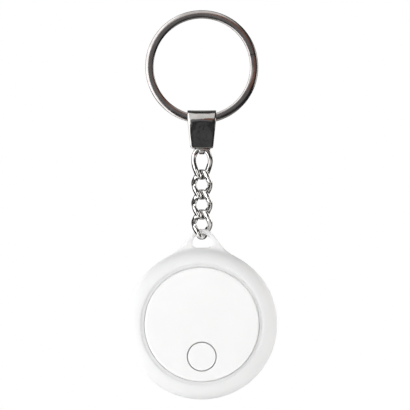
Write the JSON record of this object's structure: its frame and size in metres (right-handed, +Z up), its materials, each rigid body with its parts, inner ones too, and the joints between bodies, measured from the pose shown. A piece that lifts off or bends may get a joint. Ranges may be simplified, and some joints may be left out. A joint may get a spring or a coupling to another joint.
{
  "type": "bluetooth tracker tag",
  "caption": "Round white tracker tag with a frosted ring case and lug, a front push button and a twist-lock battery door, hung by a curb chain and folded strap from a flat split key ring.",
  "frame": {"origin": "highest point of the key ring's inner edge, where the whole thing hangs, in the ring's middle plane", "axes": "+Z up the hanging chain, -Y out of the face with the button, +X to the right seen from the front"},
  "size_m": [0.04, 0.0082, 0.1033],
  "materials": {
    "ring_steel": "polished nickel-plated spring steel",
    "strap_steel": "smooth plated sheet steel, dark",
    "chain_chrome": "bright plated wire",
    "frosted_frame": "frosted translucent moulding",
    "white_cover": "smooth satin white moulding",
    "white_button": "smooth satin white moulding",
    "white_door": "fine-textured white moulding",
    "seal_rubber": "black silicone",
    "board_laminate": "green solder mask on glass laminate",
    "black_resin": "moulded black epoxy",
    "can_metal": "tinned sheet can",
    "led_lens": "clear epoxy over a phosphor",
    "capacitor_ceramic": "tan ceramic with tinned ends",
    "plunger_plastic": "black nylon",
    "cell_can": "brushed plated can",
    "tray_plastic": "dark grey moulding",
    "contact_bronze": "plated phosphor bronze",
    "screw_steel": "zinc-plated steel",
    "sounder_brass": "bright brass disc",
    "sounder_ceramic": "silvered ceramic disc"
  },
  "bodies": {
    "key_ring": {"split_ring": "ring_steel"},
    "strap": {"bail_strap": "strap_steel"},
    "link_1": {"chain_link_1": "chain_chrome"},
    "link_2": {"chain_link_2": "chain_chrome"},
    "link_3": {"chain_link_3": "chain_chrome"},
    "link_4": {"chain_link_4": "chain_chrome"},
    "tag": {"case_frame": "frosted_frame", "front_cover": "white_cover", "circuit_board": "board_laminate", "radio_chip": "black_resin", "crystal": "can_metal", "chip_antenna": "black_resin", "status_led": "led_lens", "buzzer_inductor": "black_resin", "decoupling_capacitor_1": "capacitor_ceramic", "decoupling_capacitor_2": "capacitor_ceramic", "decoupling_capacitor_3": "capacitor_ceramic", "switch_body": "can_metal", "coin_cell": "cell_can", "battery_tray": "tray_plastic", "battery_contact_negative": "contact_bronze", "battery_contact_positive": "contact_bronze", "tray_screw_1": "screw_steel", "tray_screw_2": "screw_steel", "tray_screw_3": "screw_steel", "tray_screw_4": "screw_steel", "buzzer_plate": "sounder_brass", "buzzer_ceramic": "sounder_ceramic", "buzzer_spring_1": "contact_bronze", "buzzer_spring_2": "contact_bronze", "door_seal": "seal_rubber"},
    "button": {"button_cap": "white_button"},
    "plunger": {"switch_plunger": "plunger_plastic"},
    "door": {"battery_door": "white_door"}
  },
  "joints": [
    {"name": "strap_swing", "type": "hinge", "parent": "key_ring", "child": "strap", "pos_m": [0, 0, -0.02672], "axis": [1, 0, 0], "range_deg": [-120, 120]},
    {"name": "link_1_swing", "type": "hinge", "parent": "strap", "child": "link_1", "pos_m": [0, 0, -0.03472], "axis": [-1, 0, 0], "range_deg": [-20, 70]},
    {"name": "link_2_swing", "type": "hinge", "parent": "link_1", "child": "link_2", "pos_m": [0, 0, -0.04212], "axis": [0.7071, 0.7071, 0], "range_deg": [-75, 75]},
    {"name": "link_3_swing", "type": "hinge", "parent": "link_2", "child": "link_3", "pos_m": [0, 0, -0.04602], "axis": [-0.7071, 0.7071, 0], "range_deg": [-75, 75]},
    {"name": "link_4_swing", "type": "hinge", "parent": "link_3", "child": "link_4", "pos_m": [0, 0, -0.05272], "axis": [-0.7071, -0.7071, 0], "range_deg": [-75, 75]},
    {"name": "tag_swing", "type": "hinge", "parent": "link_4", "child": "tag", "pos_m": [0, 0, -0.05665], "axis": [1, 0, 0], "range_deg": [-40, 40]},
    {"name": "button_press", "type": "slide", "parent": "tag", "child": "button", "axis": [0, 1, 0], "range_m": [0, 0.0003], "stiffness_N_per_m": 50},
    {"name": "plunger_press", "type": "slide", "parent": "tag", "child": "plunger", "axis": [0, 1, 0], "range_m": [0, 0.0003]},
    {"name": "door_turn", "type": "hinge", "parent": "tag", "child": "door", "pos_m": [0, 0, -0.08121], "axis": [0, 1, 0], "range_deg": [0, 30]}
  ],
  "couplings": [
    {"joint": "plunger_press", "follows": "button_press", "ratio": 1}
  ]
}
